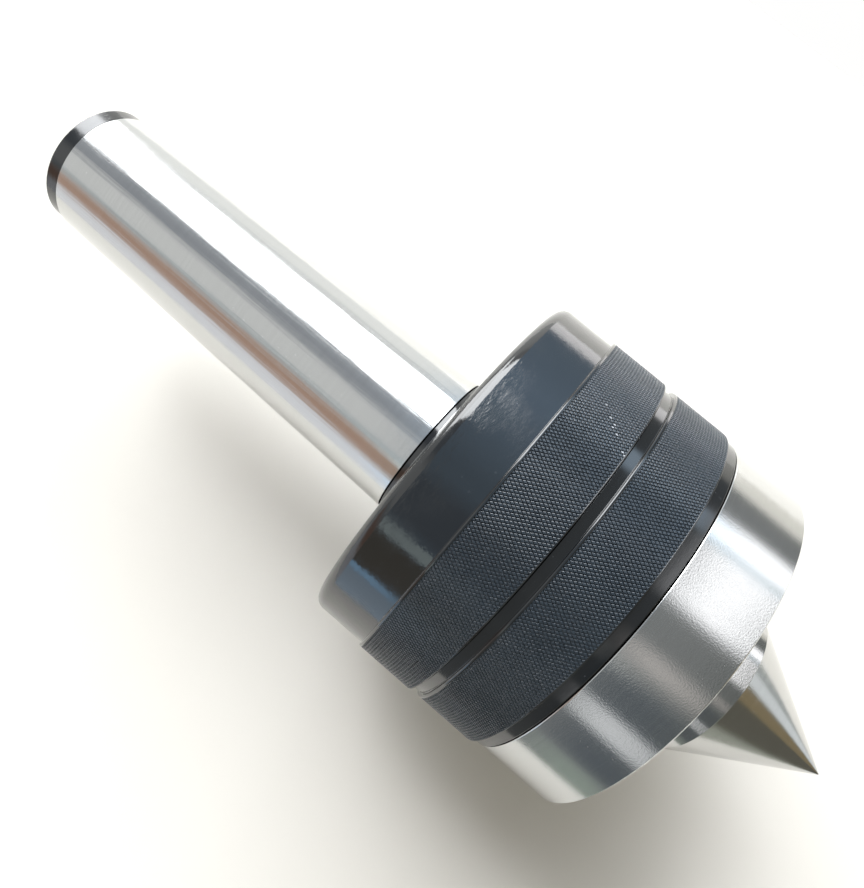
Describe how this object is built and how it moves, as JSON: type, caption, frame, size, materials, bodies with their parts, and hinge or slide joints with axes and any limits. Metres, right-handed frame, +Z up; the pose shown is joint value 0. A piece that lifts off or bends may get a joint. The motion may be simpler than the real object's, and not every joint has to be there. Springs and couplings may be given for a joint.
{
  "type": "live center",
  "caption": "Heavy-duty live center with a Morse 5 shank, black knurled body, screwed cap nut and a bright rotating head with a 60 degree point running on roller, thrust and needle bearings.",
  "frame": {"origin": "on the turning axis at the gauge plane of the Morse 5 taper, where the taper is 44.399 mm in diameter", "axes": "+X along the turning axis towards the point, +Z up, +Y completes a right-handed frame"},
  "size_m": [0.2691, 0.1074, 0.1074],
  "materials": {
    "black_steel": "black oxide, glossy",
    "ground_steel": "fine ground",
    "bearing_steel": "ground and polished",
    "cage_brass": "machined",
    "seal_rubber": "matte",
    "nut_steel": "turned"
  },
  "bodies": {
    "housing_set": {"housing": "black_steel", "cap_nut": "black_steel", "front_seal": "seal_rubber", "o_ring": "seal_rubber", "front_outer_ring": "bearing_steel", "thrust_housing_washer": "bearing_steel", "needle_outer_ring": "bearing_steel"},
    "spindle_set": {"spindle": "ground_steel", "point": "ground_steel", "front_inner_ring": "bearing_steel", "lock_washer": "nut_steel", "lock_nut": "nut_steel", "thrust_shaft_washer": "bearing_steel", "needle_inner_ring": "bearing_steel", "journal_clip": "nut_steel"},
    "front_roller_set": {"front_rollers": "bearing_steel", "front_roller_cage": "cage_brass"},
    "thrust_ball_set": {"thrust_balls": "bearing_steel", "thrust_ball_cage": "cage_brass"},
    "needle_set": {"needle_rollers": "bearing_steel", "needle_cage": "cage_brass"}
  },
  "joints": [
    {"name": "spindle_spin", "type": "hinge", "parent": "housing_set", "child": "spindle_set", "pos_m": [0, 0, 0], "axis": [1, 0, 0], "continuous": true},
    {"name": "front_roller_orbit", "type": "hinge", "parent": "housing_set", "child": "front_roller_set", "pos_m": [0, 0, 0], "axis": [1, 0, 0], "continuous": true},
    {"name": "thrust_ball_orbit", "type": "hinge", "parent": "housing_set", "child": "thrust_ball_set", "pos_m": [0, 0, 0], "axis": [1, 0, 0], "continuous": true},
    {"name": "needle_orbit", "type": "hinge", "parent": "housing_set", "child": "needle_set", "pos_m": [0, 0, 0], "axis": [1, 0, 0], "continuous": true}
  ],
  "couplings": [
    {"joint": "front_roller_orbit", "follows": "spindle_spin", "ratio": 0.4375},
    {"joint": "thrust_ball_orbit", "follows": "spindle_spin", "ratio": 0.5},
    {"joint": "needle_orbit", "follows": "spindle_spin", "ratio": 0.45283}
  ]
}
